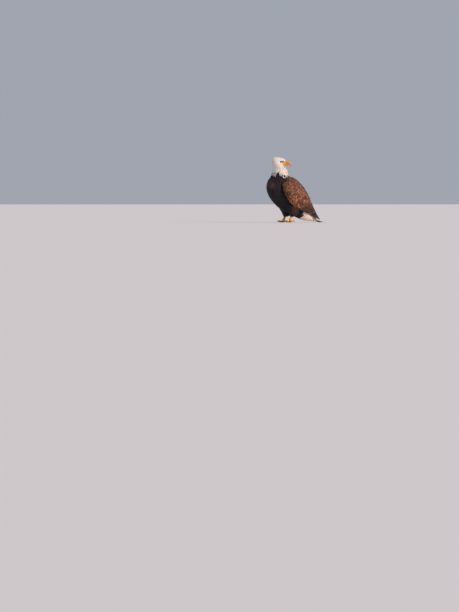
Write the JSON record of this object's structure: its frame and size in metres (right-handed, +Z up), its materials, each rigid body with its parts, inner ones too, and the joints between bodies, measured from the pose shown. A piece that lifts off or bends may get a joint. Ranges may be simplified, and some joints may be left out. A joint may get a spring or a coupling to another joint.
{
  "type": "adult bald eagle, standing",
  "caption": "Life-size adult bald eagle standing with folded wings, its head turned back over its left shoulder and its tail resting on the floor.",
  "frame": {"origin": "middle of the bird's box, at the level of its soles", "axes": "+Z up; the breast faces -Y and the bird's left side is +X; the head looks back over the left shoulder"},
  "size_m": [0.2854, 0.6239, 0.6093],
  "materials": {
    "white_feathers": "cream-white overlapping feathers, pointed on the neck",
    "brown_feathers": "brown contour and flight feathers with paler worn edges",
    "dark_feathers": "blackish-brown body feathers with a faint sheen",
    "yellow_skin": "bright yellow scaled skin",
    "bill_horn": "smooth orange-yellow horn with a soft yellow cere",
    "claw_horn": "polished black horn",
    "eye": "wet, glossy eye with a pale yellow iris and a black pupil"
  },
  "bodies": {
    "root": {"head": "white_feathers", "neck": "white_feathers", "trunk": "dark_feathers", "tail_coverts": "white_feathers", "tail": "white_feathers", "bill_upper": "bill_horn", "bill_lower": "bill_horn", "eye_left": "eye", "wing_coverts_left": "brown_feathers", "secondaries_left": "brown_feathers", "primaries_left": "dark_feathers", "thigh_left": "dark_feathers", "tarsus_left": "yellow_skin", "foot_left": "yellow_skin", "claw_inner_left": "claw_horn", "claw_middle_left": "claw_horn", "claw_outer_left": "claw_horn", "claw_hind_left": "claw_horn", "eye_right": "eye", "wing_coverts_right": "brown_feathers", "secondaries_right": "brown_feathers", "primaries_right": "dark_feathers", "thigh_right": "dark_feathers", "tarsus_right": "yellow_skin", "foot_right": "yellow_skin", "claw_inner_right": "claw_horn", "claw_middle_right": "claw_horn", "claw_outer_right": "claw_horn", "claw_hind_right": "claw_horn"}
  },
  "joints": []
}
